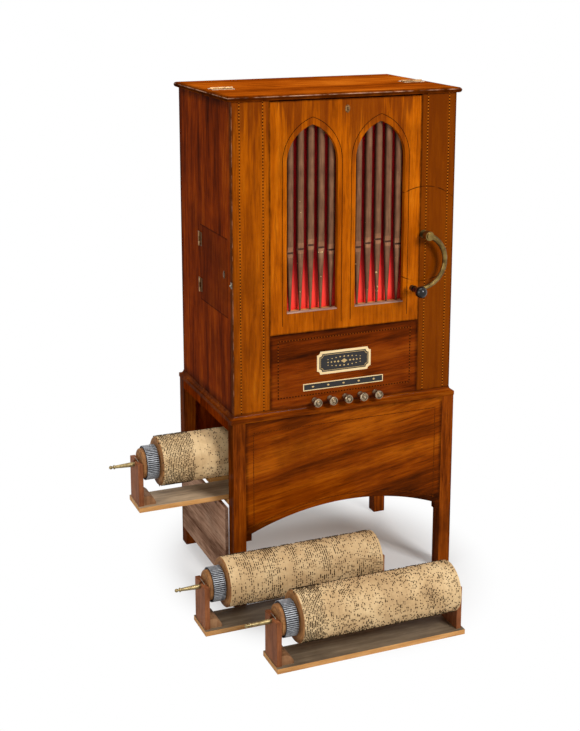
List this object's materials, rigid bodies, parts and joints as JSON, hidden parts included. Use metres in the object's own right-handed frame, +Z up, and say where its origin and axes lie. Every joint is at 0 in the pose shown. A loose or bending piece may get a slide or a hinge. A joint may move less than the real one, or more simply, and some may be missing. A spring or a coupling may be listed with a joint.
{
  "type": "barrel organ",
  "caption": "Hand-cranked barrel organ in a mahogany case on a stand, with pointed pipe openings, drawn stops, a barrel playing inside and spare pinned barrels in cradles.",
  "frame": {"origin": "on the floor under the middle of the stand", "axes": "+Z up, -Y towards the front with the pipes and the crank, +X to the right seen from the front"},
  "size_m": [1.023, 0.8784, 1.456],
  "materials": {
    "case_mahogany": "french polish",
    "side_mahogany": "french polish",
    "lid_mahogany": "french polish",
    "flap_wood": "worn, unpolished",
    "pine": "bare",
    "key_wood": "bare",
    "leather": "soft sheepskin",
    "pipe_brown": "dull bronze paint",
    "silk": "satin",
    "hinge_brass": "aged",
    "crank_brass": "antique",
    "ebony": "gloss black",
    "stop_brass": "dull",
    "cradle_wood": "stained",
    "barrel_paper": "paper over poplar",
    "wheel_lead": "lead grey",
    "spindle_brass": "worn"
  },
  "bodies": {
    "case": {"stand_legs": "side_mahogany", "front_apron": "case_mahogany", "stand_panels": "side_mahogany", "barrel_shelf": "pine", "base_moulding": "side_mahogany", "case_floor": "pine", "left_side": "side_mahogany", "right_side": "side_mahogany", "back_panel": "side_mahogany", "front_frame": "case_mahogany", "name_panel": "case_mahogany", "lid_back": "lid_mahogany", "fixed_hinge_leaves": "hinge_brass", "shaft_bearings": "crank_brass", "bellows_frame": "pine", "feeder_folds": "leather", "reservoir_folds": "leather", "wind_chest": "pine", "organ_pipes": "pine", "key_frame": "pine", "stickers": "pine", "barrel_bearers": "pine"},
    "front_panel": {"front_panel": "case_mahogany", "dummy_pipes": "pipe_brown", "pipe_rails": "pine", "red_silk": "silk"},
    "lid_flap": {"lid_flap": "lid_mahogany", "lid_hinge_leaves": "hinge_brass"},
    "side_door": {"side_door": "side_mahogany", "door_hinge_leaves": "hinge_brass"},
    "storage_flap": {"storage_flap": "flap_wood", "flap_hinge_leaves": "hinge_brass"},
    "crank": {"crank_shaft": "crank_brass", "crank_arm": "crank_brass"},
    "grip": {"crank_grip": "ebony"},
    "pump_rod": {"connecting_rod": "pine"},
    "feeder": {"feeder_board": "pine"},
    "reservoir": {"reservoir_board": "pine"},
    "keys": {"keys": "key_wood"},
    "stop_1": {"stop_knob_1": "stop_brass"},
    "stop_2": {"stop_knob_2": "stop_brass"},
    "stop_3": {"stop_knob_3": "stop_brass"},
    "stop_4": {"stop_knob_4": "stop_brass"},
    "stop_5": {"stop_knob_5": "stop_brass"},
    "playing_cradle": {"playing_cradle": "cradle_wood"},
    "playing_barrel": {"playing_barrel": "barrel_paper", "playing_wheel": "wheel_lead", "playing_spindle": "spindle_brass"},
    "drawn_cradle": {"drawn_cradle": "cradle_wood"},
    "drawn_barrel": {"drawn_barrel": "barrel_paper", "drawn_wheel": "wheel_lead", "drawn_spindle": "spindle_brass"},
    "middle_cradle": {"middle_cradle": "cradle_wood"},
    "middle_barrel": {"middle_barrel": "barrel_paper", "middle_wheel": "wheel_lead", "middle_spindle": "spindle_brass"},
    "near_cradle": {"near_cradle": "cradle_wood"},
    "near_barrel": {"near_barrel": "barrel_paper", "near_wheel": "wheel_lead", "near_spindle": "spindle_brass"}
  },
  "joints": [
    {"name": "crank_turn", "type": "hinge", "parent": "case", "child": "crank", "pos_m": [0.241, 0, 1.037], "axis": [0, 1, 0], "continuous": true},
    {"name": "grip_spin", "type": "hinge", "parent": "crank", "child": "grip", "pos_m": [0.19539, -0.3, 0.88782], "axis": [0, 1, 0], "continuous": true},
    {"name": "pump_rod_swing", "type": "hinge", "parent": "crank", "child": "pump_rod", "pos_m": [0.241, 0.132, 1.023], "axis": [0, 1, 0], "continuous": true},
    {"name": "tune_shift", "type": "slide", "parent": "case", "child": "playing_cradle", "axis": [1, 0, 0], "range_m": [-0.01, 0.004]},
    {"name": "barrel_turn", "type": "hinge", "parent": "playing_cradle", "child": "playing_barrel", "pos_m": [0, -0.07, 0.979], "axis": [1, 0, 0], "continuous": true},
    {"name": "feeder_swing", "type": "hinge", "parent": "case", "child": "feeder", "pos_m": [-0.264, 0, 0.644], "axis": [0, -1, 0], "range_deg": [0, 5.5], "deforming": ["feeder_folds"]},
    {"name": "reservoir_rise", "type": "hinge", "parent": "case", "child": "reservoir", "pos_m": [-0.29, 0, 0.674], "axis": [0, -1, 0], "range_deg": [0, 9], "deforming": ["reservoir_folds"]},
    {"name": "keys_lift", "type": "hinge", "parent": "case", "child": "keys", "pos_m": [0, 0.03, 1.059], "axis": [-1, 0, 0], "range_deg": [0, 3]},
    {"name": "lid_open", "type": "hinge", "parent": "case", "child": "lid_flap", "pos_m": [0, -0.03025, 1.453], "axis": [-1, 0, 0], "range_deg": [0, 170]},
    {"name": "side_door_open", "type": "hinge", "parent": "case", "child": "side_door", "pos_m": [-0.34, 0.04675, 0.948], "axis": [0, 0, -1], "range_deg": [0, 110]},
    {"name": "flap_raise", "type": "hinge", "parent": "case", "child": "storage_flap", "pos_m": [-0.347, 0, 0.289], "axis": [0, 1, 0], "range_deg": [0, 88]},
    {"name": "front_tilt", "type": "hinge", "parent": "case", "child": "front_panel", "pos_m": [0, -0.226, 0.785], "axis": [1, 0, 0], "range_deg": [0, 3]},
    {"name": "stop_1_pull", "type": "slide", "parent": "case", "child": "stop_1", "axis": [0, -1, 0], "range_m": [0, 0.022]},
    {"name": "stop_2_pull", "type": "slide", "parent": "case", "child": "stop_2", "axis": [0, -1, 0], "range_m": [0, 0.022]},
    {"name": "stop_3_pull", "type": "slide", "parent": "case", "child": "stop_3", "axis": [0, -1, 0], "range_m": [0, 0.022]},
    {"name": "stop_4_pull", "type": "slide", "parent": "case", "child": "stop_4", "axis": [0, -1, 0], "range_m": [0, 0.022]},
    {"name": "stop_5_pull", "type": "slide", "parent": "case", "child": "stop_5", "axis": [0, -1, 0], "range_m": [0, 0.022]},
    {"name": "drawn_slide", "type": "slide", "parent": "case", "child": "drawn_cradle", "axis": [1, 0, 0], "range_m": [-0.1, 0.34]},
    {"name": "drawn_spin", "type": "hinge", "parent": "drawn_cradle", "child": "drawn_barrel", "pos_m": [0, -0.118, 0.4253], "axis": [1, 0, 0], "continuous": true},
    {"name": "middle_lift", "type": "slide", "parent": "case", "child": "middle_cradle", "axis": [0, 0, 1], "range_m": [0, 0.3]},
    {"name": "middle_spin", "type": "hinge", "parent": "middle_cradle", "child": "middle_barrel", "pos_m": [0, -0.316, 0.125], "axis": [1, 0, 0], "continuous": true},
    {"name": "near_lift", "type": "slide", "parent": "case", "child": "near_cradle", "axis": [0, 0, 1], "range_m": [0, 0.3]},
    {"name": "near_spin", "type": "hinge", "parent": "near_cradle", "child": "near_barrel", "pos_m": [0, -0.5695, 0.125], "axis": [1, 0, 0], "continuous": true}
  ],
  "couplings": [
    {"joint": "barrel_turn", "follows": "crank_turn", "ratio": -0.018519},
    {"joint": "pump_rod_swing", "follows": "crank_turn", "ratio": -1}
  ]
}
